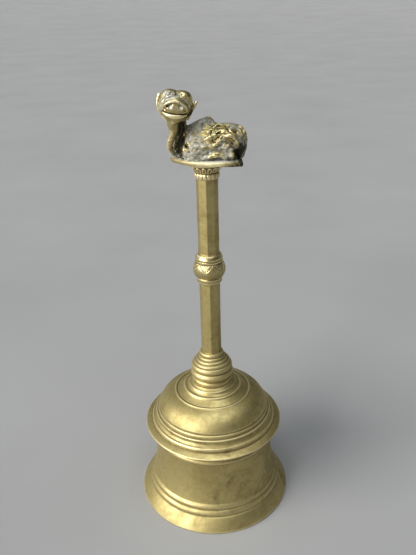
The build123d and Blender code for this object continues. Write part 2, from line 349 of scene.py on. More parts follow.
def iron(name):
    """Forged iron with a brown skin, greyer where it rubs."""
    material, nodes = new_material(name)
    shader = nodes.shader
    skin = nodes.noise(nodes.place, 420.0, 6.0, 0.65, 0.4)
    rust = nodes.noise(nodes.place, 1500.0, 4.0, 0.6)
    nodes.link(nodes.ramp(skin, IRON_SKIN), shader, "Base Color")
    nodes.link(nodes.spread(skin, 0.35, 0.7, 0.75, 0.42), shader, "Roughness")
    nodes.link(nodes.spread(skin, 0.4, 0.6, 0.45, 0.9), shader, "Metallic")
    nodes.link(nodes.bump(rust, 0.0002, 0.4), shader, "Normal")
    return material


# --- turned shapes ---
def outline_points(outline, spacing, soften):
    """The outline as evenly spaced points with every corner slightly rounded."""
    fine = []
    step = 0.05
    for (r, z, bulge), (next_r, next_z, _) in zip(outline, outline[1:] + outline[:1]):
        along = np.array((next_r - r, next_z - z))
        length = np.hypot(*along)
        count = max(2, int(round(length / step)))
        t = np.arange(count)[:, None] / count
        out = np.array((along[1], -along[0])) / length
        bow = bulge * (4 * t * (1 - t))
        fine.append(np.array((r, z)) + along * t + out * bow)
    fine = np.concatenate(fine)
    reach = int(4 * soften / step)
    kernel = np.exp(-0.5 * (np.arange(-reach, reach + 1) * step / soften) ** 2)
    kernel /= kernel.sum()
    smooth = sum(w * np.roll(fine, k, 0) for k, w in zip(range(-reach, reach + 1), kernel))
    gap = np.hypot(*(np.roll(smooth, -1, 0) - smooth).T)
    travel = np.concatenate([[0], np.cumsum(gap)])
    closed = np.concatenate([smooth, smooth[:1]])
    count = int(travel[-1] / spacing)
    at = np.linspace(0, travel[-1], count, endpoint=False)
    return np.stack([np.interp(at, travel, closed[:, k]) for k in (0, 1)], 1)


def ring_faces(rows, columns):
    """Quads of a grid that closes on itself both ways."""
    i, j = np.meshgrid(np.arange(rows), np.arange(columns), indexing="ij")
    up, right = (i + 1) % rows, (j + 1) % columns
    near, far = i * columns, up * columns
    return np.stack([near + j, near + right, far + right, far + j], -1).reshape(-1, 4)


def solid_mesh(name, points, faces):
    """A smooth-shaded object from points in millimetres."""
    mesh = bpy.data.meshes.new(name)
    mesh.vertices.add(len(points))
    mesh.vertices.foreach_set("co", (np.asarray(points, np.float64) * MM).ravel())
    corners = faces.shape[1]
    mesh.loops.add(faces.size)
    mesh.loops.foreach_set("vertex_index", faces.astype(np.int32).ravel())
    mesh.polygons.add(len(faces))
    mesh.polygons.foreach_set("loop_start", np.arange(len(faces), dtype=np.int32) * corners)
    mesh.polygons.foreach_set("use_smooth", np.ones(len(faces), bool))
    mesh.update(calc_edges=True)
    mesh.validate()
    made = bpy.data.objects.new(name, mesh)
    bpy.context.scene.collection.objects.link(made)
    return made


def read_points(made):
    """A mesh's points in millimetres."""
    points = np.empty(len(made.data.vertices) * 3)
    made.data.vertices.foreach_get("co", points)
    return points.reshape(-1, 3) / MM


def set_attribute(made, name, values):
    layer = made.data.attributes.get(name) or made.data.attributes.new(name, "FLOAT", "POINT")
    layer.data.foreach_set("value", np.asarray(values, np.float32))


def standing(made, passes):
    """How far each point of a mesh stands above its smoothed surroundings, in millimetres."""
    mesh = made.data
    points = read_points(made)
    count = len(points)
    normals = np.empty(count * 3)
    mesh.vertices.foreach_get("normal", normals)
    normals = normals.reshape(-1, 3)
    pairs = np.empty(len(mesh.edges) * 2, np.int32)
    mesh.edges.foreach_get("vertices", pairs)
    a, b = pairs.reshape(-1, 2).T
    ties = np.bincount(a, minlength=count) + np.bincount(b, minlength=count)
    smooth = points.copy()
    for _ in range(passes):
        moved = np.zeros_like(smooth)
        for k in range(3):
            moved[:, k] = np.bincount(a, smooth[b, k], count) + np.bincount(b, smooth[a, k], count)
        smooth = 0.5 * smooth + 0.5 * moved / ties[:, None]
    return points, normals, ((points - smooth) * normals).sum(1)


def mark_hollows(made, passes, depth):
    """Stores the hollows and ridges of a mesh for its material: the ridges are lightened as rubbed
    edges with painted highlights.
    """
    height = standing(made, passes)[2] / depth
    set_attribute(made, "hollow", np.clip(-height, 0, 1))
    set_attribute(made, "ridge_and_highlight", np.clip(height, 0, 1))


def turned(name, outline, relief=None, *, spacing, around, passes, depth, soften=0.16):
    """The outline spun about the bell's axis, with an optional relief cut in or raised."""
    section = outline_points(outline, spacing, soften)
    ahead = np.roll(section, -1, 0) - np.roll(section, 1, 0)
    ahead /= np.hypot(*ahead.T)[:, None]
    out = np.stack([ahead[:, 1], -ahead[:, 0]], 1)
    angle = np.arange(around) * 2 * math.pi / around
    r = np.repeat(section[:, :1], around, 1)
    z = np.repeat(section[:, 1:], around, 1)
    theta = np.repeat(angle[None], len(section), 0)
    if relief is not None:
        height = relief(r, z, theta)
        r = r + out[:, :1] * height
        z = z + out[:, 1:] * height
    points = np.stack([r * np.cos(theta), r * np.sin(theta), z], -1).reshape(-1, 3)
    made = solid_mesh(name, points, ring_faces(len(section), around))
    mark_hollows(made, passes, depth)
    return made


def dents(places):
    """A relief of small round knocks: (angle from the front in degrees, height, depth, size)."""
    def relief(r, z, theta):
        height = np.zeros_like(r)
        for degrees, at_z, deep, size in places:
            away = np.angle(np.exp(1j * (theta - FRONT - math.radians(degrees))))
            d2 = (away * r) ** 2 + (z - at_z) ** 2
            height -= deep * np.exp(-d2 / (2 * size ** 2))
        return height
    return relief


def finish_piece(made, body, slot, material, *nodes):
    made.data.materials.append(material)
    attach(made, body)
    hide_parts(*nodes)
    return made


# --- the bell ---
def bell_shell(material):
    outside = [
        (LIP_R - 0.7, 0, 0.2),
        (LIP_R, 0.9, 0.25),
        (35.9, 6.9, 0),
        (35.4, 7.2, 0.45),
        (34.4, 10.1, -0.1),
        (34.1, 10.4, 0.4),
        (33.3, 13.1, -0.1),
        (32.9, 13.7, -0.55),
        (30.5, 33.0, -0.05),
        (30.6, 36.2, 0),
        (30.4, 36.5, 0.75),
        (30.6, 39.3, -0.9),
        (35.3, 43.9, 0.1),
        (35.7, 44.5, 0.1),
        (32.7, 46.1, 0),
        (32.2, 46.0, 0.35),
        (31.5, 48.2, 0),
        (31.2, 48.1, -0.5),
        (30.0, 50.9, 0.1),
        (29.7, 51.4, 0),
        (28.9, 51.3, 0.1),
        (28.6, 53.1, 0),
        (28.0, 53.3, 0),
        (28.2, 54.3, 1.3),
        (19.7, 62.3, 0),
        (19.4, 62.75, 0.12),
        (18.8, 62.85, 0),
        (18.5, 62.4, -0.1),
        (15.0, 64.6, 0),
        (14.7, 65.2, 0.12),
        (13.9, 65.45, 0),
        (13.6, 65.25, -0.1),
        (12.2, 66.3, 0),
        (11.9, 66.95, 0.12),
        (11.2, 67.2, 0),
        (10.2, SEAT_Z, 0),
        (2.3, SEAT_Z, 0),
    ]
    inside = [
        (2.3, 64.8, 0),
        (8.0, 64.8, -1.4),
        (24.9, 54.2, -1.0),
        (27.6, 46.0, -0.3),
        (27.8, 36.0, 0.8),
        (30.0, 14.5, 0),
        (LIP_R - 4.0, 1.0, -0.2),
        (LIP_R - 3.4, 0, 0),
    ]
    knocks = dents([
        (-38, 57.5, 0.10, 1.1), (24, 58.5, 0.08, 0.8), (-12, 60.0, 0.06, 0.7),
        (33, 4.5, 0.10, 1.0), (-15, 3.2, 0.12, 0.9), (150, 30.0, 0.15, 2.2),
        (-120, 20.0, 0.12, 1.8), (70, 44.3, 0.12, 0.9), (-75, 1.4, 0.15, 1.0),
    ])
    made = turned("bell_casting", outside + inside, knocks, spacing=0.25, around=320,
                  passes=14, depth=0.16, soften=0.2)
    return finish_piece(made, "bell", "bell_brass", material, "bell_shell")


def handle_foot(material):
    outline = [
        (ROD_HOLE_R, SEAT_Z, 0),
        (9.6, SEAT_Z, 0.5),
        (9.7, 70.8, 0),
        (9.2, 71.1, 0),
        (9.9, 71.45, 0.95),
        (9.9, 75.3, 0),
        (9.2, 75.65, 0),
        (10.3, 76.2, 0.3),
        (9.75, 78.5, 0),
        (9.15, 78.75, 0),
        (9.25, 78.95, 0.25),
        (8.5, 80.2, 0),
        (7.95, 80.45, 0),
        (8.0, 80.65, 0.2),
        (7.3, 81.6, 0),
        (6.8, 81.85, 0),
        (6.8, 82.05, 0.15),
        (6.3, 83.0, 0),
        (5.9, 83.25, 0),
        (6.0, 83.45, 0.3),
        (5.5, FOOT_TOP_Z, 0),
        (ROD_HOLE_R, FOOT_TOP_Z, 0),
    ]
    made = turned("onion_foot", outline, spacing=0.15, around=180,
                  passes=16, depth=0.05, soften=0.12)
    return finish_piece(made, "bell", "handle_brass", material, "handle_foot")


SHAFT_FLAT_R = 4.66
SHAFT_CORNER_R = 5.05
CORNER_SHARPNESS = 70


def octagon(twist):
    """A relief that files a round bar of the shaft's corner radius down to eight flats."""
    def relief(r, z, theta):
        reach = np.zeros_like(r)
        for k in range(8):
            facing = np.cos(theta - math.radians(22.5 + 45 * k + twist))
            reach += np.clip(facing, 0, None) ** CORNER_SHARPNESS
        flats = SHAFT_FLAT_R * reach ** (-1 / CORNER_SHARPNESS)
        wander = 0.05 * np.sin(z * 0.23 + 3 * theta) + 0.03 * np.sin(z * 0.61 + 5 * theta + 1.0)
        return np.where(r > SHAFT_FLAT_R - 1, flats - r + wander * 0.6 - 0.03, 0)
    return relief


def shaft(name, node, twist, material):
    low, high = (corner.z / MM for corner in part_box(node))
    outline = [
        (ROD_HOLE_R, low, 0),
        (SHAFT_CORNER_R, low, 0),
        (SHAFT_CORNER_R, high, 0),
        (ROD_HOLE_R, high, 0),
    ]
    made = turned(name, outline, octagon(twist), spacing=0.3, around=192, passes=10, depth=0.18)
    return finish_piece(made, "bell", "handle_brass", material, node)


KNOP_BALL_Z = KNOP_BASE_Z + 7.3
KNOP_BALL_R = 7.8
PETAL_COUNT = 6
PETAL_TURN = math.radians(-15.5)
LATTICE_PITCH = 7   # degrees


def knop_cuts(r, z, theta):
    """Six downward-pointing petals chased round the ball's upper half, filled with a lattice."""
    pitch = 2 * math.pi / PETAL_COUNT
    turn = (theta - FRONT - PETAL_TURN + pitch / 2) % pitch - pitch / 2
    rise = np.degrees(np.arcsin(np.clip((z - KNOP_BALL_Z) / KNOP_BALL_R, -1, 1)))
    across = np.degrees(np.abs(turn))
    edge = (rise - 2.0) - across * 0.95
    on_ball = (r > 5.5) & (rise > -3) & (rise < 27)
    outline_cut = 0.34 * np.exp(-(edge / 2.2) ** 2) * np.clip(rise / 12, 0.25, 1)
    inner_cut = 0.14 * np.exp(-((edge - 6.0) / 1.3) ** 2)
    slant_a = np.degrees(turn) + rise
    slant_b = np.degrees(turn) - rise
    half = LATTICE_PITCH / 2
    lattice = 0
    for slant in (slant_a, slant_b):
        lattice = lattice + np.exp(-(((slant + half) % LATTICE_PITCH - half) / 1.2) ** 2)
    lattice_cut = np.where(edge > 8.5, 0.06 * lattice, 0)
    hatch = np.where(edge < -5, 0.03 * (0.5 + 0.5 * np.cos((rise + across * 0.95) * 1.6)), 0)
    return np.where(on_ball, -(outline_cut + inner_cut + lattice_cut + hatch), 0)


def handle_knop(material):
    outline = [
        (ROD_HOLE_R, KNOP_BASE_Z, 0),
        (5.3, KNOP_BASE_Z, 0.15),
        (6.15, 125.0, 0),
        (6.0, 125.3, 0.2),
        (6.0, 126.8, 0),
        (5.8, 127.1, 0),
        (6.6, 127.2, 0.3),
        (KNOP_BALL_R, KNOP_BALL_Z, 0.3),
        (6.6, 134.3, 0),
        (6.2, 134.4, 0.3),
        (6.4, 135.9, 0),
        (6.4, 136.1, 0.15),
        (6.3, 137.1, 0.1),
        (5.4, KNOP_TOP_Z, 0),
        (ROD_HOLE_R, KNOP_TOP_Z, 0),
    ]
    made = turned("chased_knop", outline, knop_cuts, spacing=0.15, around=336,
                  passes=24, depth=0.06)
    height = read_points(made)[:, 2]
    set_attribute(made, "ash", 0.36 * np.exp(-((height - 137.9) / 0.8) ** 2))
    return finish_piece(made, "bell", "handle_brass", material, "handle_knop")


PETALS = 16
BEADS = 18


def capital_relief(r, z, theta):
    """Low upright beads round the lower ring, and scooped petals round the cup."""
    rise = z - CAPITAL_BASE_Z
    bead_pitch = 2 * math.pi / BEADS
    across = ((theta - FRONT) % bead_pitch - bead_pitch / 2) * r
    bead = 1 - (across / 1.02) ** 2 - ((rise - 1.15) / 1.25) ** 2
    beads = 0.30 * np.sqrt(np.clip(bead, 0, None)) * (rise < 2.4)
    climb = np.clip((rise - 2.7) / 3.3, 0, 1)
    pitch = 2 * math.pi / PETALS
    turn = np.abs(((theta - FRONT) % pitch) / pitch - 0.5) * 2
    tip = 1 - 0.42 * turn ** 2
    leaf = np.clip((tip - climb) / 0.10, 0, 1) * np.clip(climb / 0.12, 0, 1)
    dome = np.sqrt(np.clip(1 - (turn / 0.93) ** 2, 0, 1)) * (0.35 + 0.65 * climb)
    scoop = 0.5 * np.exp(-(turn / 0.4) ** 2 - ((climb - 0.4) / 0.35) ** 2)
    petals = 0.85 * leaf * (dome - scoop)
    return np.where((r > 4.4) & (rise < 6.15), beads + petals, 0)


def capital(material):
    outline = [
        (ROD_HOLE_R, CAPITAL_BASE_Z, 0),
        (5.4, CAPITAL_BASE_Z, 0.1),
        (5.4, CAPITAL_BASE_Z + 2.3, 0),
        (5.0, CAPITAL_BASE_Z + 2.55, 0),
        (5.3, CAPITAL_BASE_Z + 2.8, -0.15),
        (7.4, CAPITAL_BASE_Z + 6.0, 0),
        (8.6, CAPITAL_BASE_Z + 6.25, 0),
        (9.25, CAPITAL_BASE_Z + 6.3, 0.1),
        (9.4, CAPITAL_BASE_Z + 7.1, 0.1),
        (9.2, PLATE_BASE_Z, 0),
        (ROD_HOLE_R, PLATE_BASE_Z, 0),
    ]
    made = turned("lotus_capital", outline, capital_relief, spacing=0.13, around=360,
                  passes=30, depth=0.07, soften=0.1)
    return finish_piece(made, "bell", "handle_brass", material, "capital")


# --- the plate under the bull ---
def bend(a, b, c):
    """How far three plan points turn: above 0 to the left, below 0 to the right."""
    return (b[0] - a[0]) * (c[1] - a[1]) - (b[1] - a[1]) * (c[0] - a[0])


def hull(points):
    """The corners of the convex outline round some plan points, anticlockwise."""
    ordered = sorted(set((round(x, 4), round(y, 4)) for x, y in points))

    def half(run):
        kept = []
        for p in run:
            while len(kept) > 1 and bend(kept[-2], kept[-1], p) <= 1e-5:
                kept.pop()
            kept.append(p)
        return kept[:-1]

    return np.array(half(ordered) + half(ordered[::-1]))


def plate_outline(spacing=0.35):
    corners = np.array([v.co[:2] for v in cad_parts["figure_plate"].data.vertices]) / MM
    ring = hull(corners)
    closed = np.concatenate([ring, ring[:1]])
    travel = np.concatenate([[0], np.cumsum(np.hypot(*np.diff(closed, axis=0).T))])
    at = np.linspace(0, travel[-1], int(travel[-1] / spacing), endpoint=False)
    edge = np.stack([np.interp(at, travel, closed[:, k]) for k in (0, 1)], 1)
    for _ in range(8):
        edge = 0.5 * edge + 0.25 * (np.roll(edge, 1, 0) + np.roll(edge, -1, 0))
    return edge


def figure_plate(material):
    """The plate's rim lofted round its outline: rounded, hand-filed and a little uneven."""
    edge = plate_outline()
    ahead = np.roll(edge, -1, 0) - np.roll(edge, 1, 0)
    ahead /= np.hypot(*ahead.T)[:, None]
    out = np.stack([ahead[:, 1], -ahead[:, 0]], 1)
    low, high = PLATE_BASE_Z, PLATE_TOP_Z
    middle = np.array((0.0, -1.0))
    steps = np.arange(len(edge))
    wander = 0.07 * np.sin(steps * 0.19) + 0.05 * np.sin(steps * 0.47 + 1.3) - 0.12
    rows = []
    for inset in (14.0, 9.0, 5.0, 2.5, 1.2, 0.5):
        rows.append((inset, low))
    rows.append((0.2, low + 0.1))
    for k in range(9):
        turn = math.pi * k / 8
        rows.append((0.25 - 0.25 * math.sin(turn), (low + high) / 2 - 0.75 * math.cos(turn)))
    rows.append((0.3, high - 0.08))
    for inset in (0.6, 1.2, 2.5, 5.0, 9.0, 14.0):
        rows.append((inset, high))
    layers = []
    for inset, z in rows:
        reach = edge - middle
        length = np.hypot(*reach.T)[:, None]
        if inset < 2:
            pulled = edge - out * inset
        else:
            pulled = middle + reach * np.clip(1 - inset / length.mean(), 0.08, 1)
        share = wander[:, None] if inset < 1 else 0
        layers.append(np.concatenate([pulled + out * share, np.full((len(edge), 1), z)], 1))
    points = np.array(layers)
    made = solid_mesh("bull_plate", points.reshape(-1, 3), ring_faces(*points.shape[:2])[:, ::-1])
    mark_hollows(made, 10, 0.12)
    top = np.repeat([inset > 0.5 and z > (low + high) / 2 for inset, z in rows], len(edge))
    x = points.reshape(-1, 3)[:, 0]
    # Pale ash on the top, thinned toward the right end so that end is darker: painted shade.
    set_attribute(made, "ash", (1.6 - 1.3 * np.clip((x - 9) / 5, 0, 1)) * top)
    # Rim lightened as rubbed polish, plus a painted highlight strongest at the front and fading
    # out to the right.
    polish_and_highlight = (0.35 + 0.5 * np.exp(-((x - 1) / 7) ** 2)) * np.clip((12 - x) / 5, 0, 1) * (1 - top)
    set_attribute(made, "ridge_and_highlight", polish_and_highlight)
    # Darker toward the right end: painted shade.
    set_attribute(made, "grime_and_shade", 0.75 * np.clip((x - 6) / 8, 0, 1))
    return finish_piece(made, "bell", "figure_brass", material, "figure_plate")


# --- the bull ---
CLAY_PITCH = 0.23
CLAY_SEED = 11
CRUST_BUMPS = ((3.1, 0.16), (1.3, 0.11), (0.6, 0.075))   # spacing and height


class Clay:
    """A sculpture held as signed distances on a grid, in millimetres."""

    def __init__(self, low, high, pitch):
        self.low = np.array(low, float)
        self.pitch = pitch
        self.size = [int((b - a) / pitch) + 1 for a, b in zip(low, high)]
        self.field = np.full(self.size, 5.0, np.float32)
        self.axes = [a + pitch * np.arange(n) for a, n in zip(low, self.size)]

    def near(self, points, reach):
        """The part of the grid round some points, with its coordinates."""
        points = np.asarray(points, float)
        first = ((points.min(0) - reach - self.low) / self.pitch).astype(int).clip(0)
        last = ((points.max(0) + reach - self.low) / self.pitch).astype(int) + 2
        part = tuple(slice(a, min(b, n)) for a, b, n in zip(first, last, self.size))
        return part, np.meshgrid(*(axis[cut] for axis, cut in zip(self.axes, part)), indexing="ij")

    def merge(self, part, shape, blend, carve):
        old = -self.field[part] if carve else self.field[part]
        share = np.clip(0.5 + 0.5 * (old - shape) / blend, 0, 1)
        new = old + (shape - old) * share - blend * share * (1 - share)
        self.field[part] = -new if carve else new

    def blob(self, centre, radii, blend=1.0, axes=np.eye(3), carve=False):
        """Adds or carves an ellipsoid."""
        part, place = self.near([centre], max(radii) + blend + 2)
        away = np.stack([p - c for p, c in zip(place, centre)], -1) @ axes
        radii = np.array(radii, float)
        whole = np.sqrt(((away / radii) ** 2).sum(-1)) + 1e-6
        slope = np.sqrt(((away / radii ** 2) ** 2).sum(-1)) + 1e-6
        self.merge(part, whole * (whole - 1) / slope, blend, carve)

    def strand(self, path, blend=0.5, carve=False):
        """Adds or carves a tapering round strand through points (x, y, z, radius)."""
        path = np.array(path, float)
        ends = np.concatenate([[2 * path[0] - path[1]], path, [2 * path[-1] - path[-2]]])
        line = []
        for k in range(1, len(ends) - 2):
            for t in np.arange(5) / 5:
                a, b, c, d = ends[k - 1:k + 3]
                line.append(0.5 * (2 * b + (c - a) * t + (2 * a - 5 * b + 4 * c - d) * t ** 2
                                   + (3 * b - a - 3 * c + d) * t ** 3))
        line = np.array(line + [path[-1]])
        part, place = self.near(line[:, :3], line[:, 3].max() + blend + 1.5)
        place = np.stack(place, -1)
        shape = np.full(place.shape[:3], 9.0)
        for a, b in zip(line[:-1], line[1:]):
            along = b[:3] - a[:3]
            t = np.clip(((place - a[:3]) @ along) / (along @ along), 0, 1)
            gap = np.sqrt(((place - a[:3] - t[..., None] * along) ** 2).sum(-1))
            shape = np.minimum(shape, gap - a[3] - (b[3] - a[3]) * t)
        self.merge(part, shape, blend, carve)

    def skin(self):
        """How far forward the surface stands at each x and z."""
        inside = self.field < 0
        first = inside.argmax(1)
        return np.where(inside.any(1), self.axes[1][first], np.nan)

    def drape(self, front, path, lift=0.0):
        """Puts a path of (x, z, radius) onto the front surface."""
        draped = []
        for x, z, radius in path:
            i, k = (int(round((v - self.low[n]) / self.pitch)) for v, n in ((x, 0), (z, 2)))
            draped.append((x, front[i, k] - lift, z, radius))
        return draped

    def roughen(self, spacing, height, random, where=1.0):
        """Adds smooth random bumps of one size."""
        counts = [int(n * self.pitch / spacing) + 3 for n in self.size]
        lattice = random.standard_normal(counts)
        weights = []
        for axis, low, count in zip(self.axes, self.low, counts):
            at = (axis - low) / spacing
            gap = np.abs(at[:, None] - np.arange(count)[None])
            weights.append(np.where(gap < 1, 1 - 3 * gap ** 2 + 2 * gap ** 3, 0))
        bumps = np.einsum("ia,jb,kc,abc->ijk", *weights, lattice, optimize=True)
        self.field += (height * bumps * where).astype(np.float32)

    def mesh(self, name):
        grid = openvdb.FloatGrid(5.0)
        grid.copyFromArray(self.field)
        grid.transform = openvdb.createLinearTransform(voxelSize=self.pitch)
        points, quads = grid.convertToQuads(isovalue=0.0)
        return solid_mesh(name, points + self.low, quads.astype(np.int32))


HEAD_AT = np.array((-11.9, -7.0, 208.35))
HEAD_ROLL = math.radians(9)
HEAD_AXES = np.array([
    (math.cos(HEAD_ROLL), 0, math.sin(HEAD_ROLL)),
    (0, -1, 0),
    (-math.sin(HEAD_ROLL), 0, math.cos(HEAD_ROLL)),
])


def on_head(across, forward, up):
    """A place on the head, whose middle faces forward and leans to its own left."""
    return HEAD_AT + HEAD_AXES @ np.array((across, forward, up))


def tipped(degrees):
    """The head's axes turned about the way it faces."""
    c, s = math.cos(math.radians(degrees)), math.sin(math.radians(degrees))
    return HEAD_AXES @ np.array([(c, 0, s), (0, 1, 0), (-s, 0, c)])


def head_path(path):
    return [(*on_head(*point[:3]), point[3]) for point in path]


def both_sides(half):
    """A path right across the face from the half that starts at or beside its middle."""
    return [(-point[0], *point[1:]) for point in half[::-1] if point[0] > 0] + half


def sculpt_head(clay):
    def blob(place, radii, blend=1.0, tip=0, carve=False):
        clay.blob(on_head(*place), radii, blend, tipped(tip), carve)

    def strand(path, blend=0.4, carve=False):
        clay.strand(head_path(path), blend, carve)

    blob((0.2, 0, 0.0), (6.7, 5.8, 5.0), 1.5)
    for side in (-1, 1):
        blob((side * 3.0, 1.6, 2.6), (3.3, 3.3, 2.9), 1.4)
        blob((side * 4.5, 1.6, -1.4), (2.3, 3.2, 3.4), 1.5)
    blob((-0.2, 4.2, -0.9), (4.3, 4.1, 3.3), 1.8)
    blob((-0.2, 3.2, 1.8), (2.6, 3.4, 1.9), 1.6)
    for side in (-1, 1):
        blob((side * 1.9 - 0.1, 5.5, -0.7), (2.7, 2.75, 2.1), 0.8)
    blob((-0.1, 4.8, -4.4), (4.2, 3.2, 2.3), 0.6)
    strand([(-0.1, 4.8, -4.8, 2.9), (-0.5, 4.0, -6.6, 2.2), (-0.9, 3.4, -8.4, 1.7)], 1.0)
    blob((-0.1, 4.3, 4.3), (0.5, 1.2, 0.9), 0.5, 0, True)
    strand([(-0.1, 1.6, 5.6, 0.4), (-0.1, 4.2, 4.7, 0.35)], 0.8, True)
    # The muzzle's flat front, the pad under the nose and the raised arch over it.
    blob((-0.2, 13.1, -0.9), (7.5, 4.9, 5.5), 0.4, 0, True)
    strand(both_sides([(0, 7.3, -2.45, 0.75), (2.0, 7.1, -2.4, 0.7), (3.9, 6.4, -2.3, 0.55)]))
    strand(both_sides([
        (1.1, 7.85, 1.6, 0.66), (3.2, 7.6, 0.8, 0.58),
        (4.4, 6.9, -0.6, 0.5), (4.8, 5.9, -2.0, 0.4),
    ]))
    # The nostrils, then the lower lip with the slit of the mouth above it.
    blob((-2.35, 8.2, -0.1), (1.4, 1.3, 0.55), 0.2, -38, True)
    blob((-1.9, 8.3, -0.75), (0.75, 0.7, 0.75), 0.3, 0, True)
    blob((2.0, 8.2, -0.35), (0.85, 1.1, 0.8), 0.2, 20, True)
    strand(both_sides([(0, 7.8, -4.1, 0.95), (2.6, 7.3, -3.95, 0.9), (4.5, 5.6, -3.5, 0.6)]), 0.8)
    slit = both_sides([(0, 8.25, -3.1, 0.22), (2.6, 7.8, -3.05, 0.2), (4.7, 5.6, -2.9, 0.14)])
    strand(slit, 0.25, True)
    front = clay.skin()

    def line(path, blend=0.2, lift=0.0, carve=False):
        flat = [(*on_head(u, 0, w)[[0, 2]], radius) for u, w, radius in path]
        clay.strand(clay.drape(front, flat, lift), blend, carve)

    # Folds round the muzzle, then the eyes with their lids and brows.
    for grow in (1.25, 2.15, 3.1):
        angles = np.radians(np.linspace(-8 + grow * 5, 188 - grow * 5, 13))
        wide, tall = 4.5 + grow, 3.7 + grow
        fold = [(wide * math.cos(a), tall * math.sin(a) - 2.0, 0.26) for a in angles]
        line(fold, 0.25, 0.05, True)
    for side in (-1, 1):
        socket = [(side * 2.0, 4.3, 0.4), (side * 3.0, 3.8, 0.6), (side * 4.0, 3.0, 0.4)]
        line(socket, 0.3, 0.1, True)
        eye = [(side * 2.4, 4.05, 0.25), (side * 3.0, 3.7, 0.5), (side * 3.7, 3.2, 0.25)]
        line(eye, 0.15, -0.15)
        line([(side * 1.5, 3.8, 0.15), (side * 2.8, 2.9, 0.28), (side * 4.5, 2.0, 0.15)], 0.3)
        line([
            (side * 1.9, 4.9, 0.15), (side * 3.4, 4.5, 0.28), (side * 5.0, 3.2, 0.15),
        ], 0.3, 0.05)
    clay.strand([
        (-13.6, -9.0, 200.2, 0.7), (-16.3, -9.0, 202.3, 0.6), (-18.3, -8.8, 204.8, 0.6),
        (-19.3, -8.4, 207.6, 0.62), (-19.3, -8.2, 209.9, 0.6), (-18.5, -8.0, 212.1, 0.75),
    ], 0.3)
    clay.strand([
        (-7.4, -8.0, 202.2, 0.8), (-6.0, -8.2, 204.4, 0.6),
        (-4.7, -8.2, 206.5, 0.6), (-3.6, -8.0, 208.5, 0.75),
    ], 0.3)


# The front edge of the neck, from the throat down to the plate: x, y, z, radius.
STRAP = [
    (-13.0, -10.6, 201.2, 1.7),
    (-13.1, -10.0, 199.0, 1.75),
    (-13.6, -9.2, 196.4, 1.6),
    (-14.9, -8.2, 193.0, 1.35),
    (-15.4, -7.0, 190.5, 1.05),
    (-14.7, -5.8, 188.0, 0.95),
    (-12.9, -4.8, 185.6, 1.2),
]


def sculpt_neck(clay):
    neck = [(-10.9, -4.6, 204.5, 3.4), (-10.8, -3.2, 198.5, 2.7), (-9.6, -1.8, 193.0, 3.6)]
    chest = [(-10.2, -1.8, 192.0, 3.3), (-10.9, -1.2, 188.4, 3.1), (-11.1, -0.9, 185.4, 2.7)]
    clay.strand(neck, 1.5)
    clay.strand(chest, 1.2)
    clay.strand(STRAP, 0.4)
    clay.strand([
        (-9.4, -6.2, 198.4, 0.4), (-10.2, -6.6, 195.6, 0.6), (-11.3, -6.8, 192.9, 0.6),
        (-12.7, -6.6, 190.6, 0.55), (-14.2, -6.0, 188.6, 0.5),
    ], 0.5)


def sculpt_body(clay):
    clay.blob((-3.2, -2.6, 188.6), (9.0, 9.6, 9.2), 2.0)
    clay.blob((2.0, -2.0, 189.6), (10.0, 10.4, 8.4), 2.0)
    clay.blob((9.4, -4.2, 189.6), (7.2, 8.4, 8.4), 1.6)
    clay.blob((9.4, 2.4, 189.6), (7.2, 8.4, 8.4), 1.6)
    clay.blob((12.4, -0.8, 188.6), (4.6, 10.6, 7.8), 1.8)
    clay.strand([
        (6.0, -2.2, 194.4, 3.2), (10.4, -2.4, 194.6, 3.7), (14.0, -2.8, 194.0, 3.3),
        (14.0, -3.4, 189.0, 3.2),
    ], 1.6)
    # The back, rising from the neck to the hump, and the crest along it.
    clay.strand([
        (-8.0, -1.6, 195.4, 1.9), (-4.4, -1.4, 196.8, 2.3), (-0.6, -1.0, 198.1, 2.4),
        (1.2, -0.9, 198.5, 2.0),
    ], 2.6)
    clay.strand([
        (-8.6, -1.6, 196.8, 0.6), (-4.4, -1.2, 198.8, 0.65), (-0.4, -1.0, 200.5, 0.7),
        (1.5, -0.9, 200.8, 0.7), (2.7, -0.9, 199.8, 0.6), (3.4, -1.0, 198.4, 0.5),
    ], 0.6)
    clay.strand([(2.6, -1.4, 196.9, 1.8), (5.2, -1.6, 197.2, 1.6), (8.6, -1.8, 196.8, 1.6)], 1.2)
    # The folded forelegs, then the far side's rump strap and hind leg.
    for y, knee_y in ((-8.6, -4.0), (5.4, 9.08)):
        clay.strand([
            (-11.4, knee_y, 187.2, 1.4), (-8.0, y + 0.8, 187.0, 1.9), (-3.4, y - 0.6, 186.8, 1.7),
        ], 0.9)
    clay.strand([(12.4, 9.0, 194.0, 1.0), (14.6, 7.4, 191.0, 0.9), (14.9, 3.6, 187.4, 0.8)], 0.5)
    clay.strand([(1.0, 9.4, 187.0, 1.3), (5.5, 10.2, 187.4, 1.7), (10.5, 9.8, 187.2, 1.9)], 0.8)


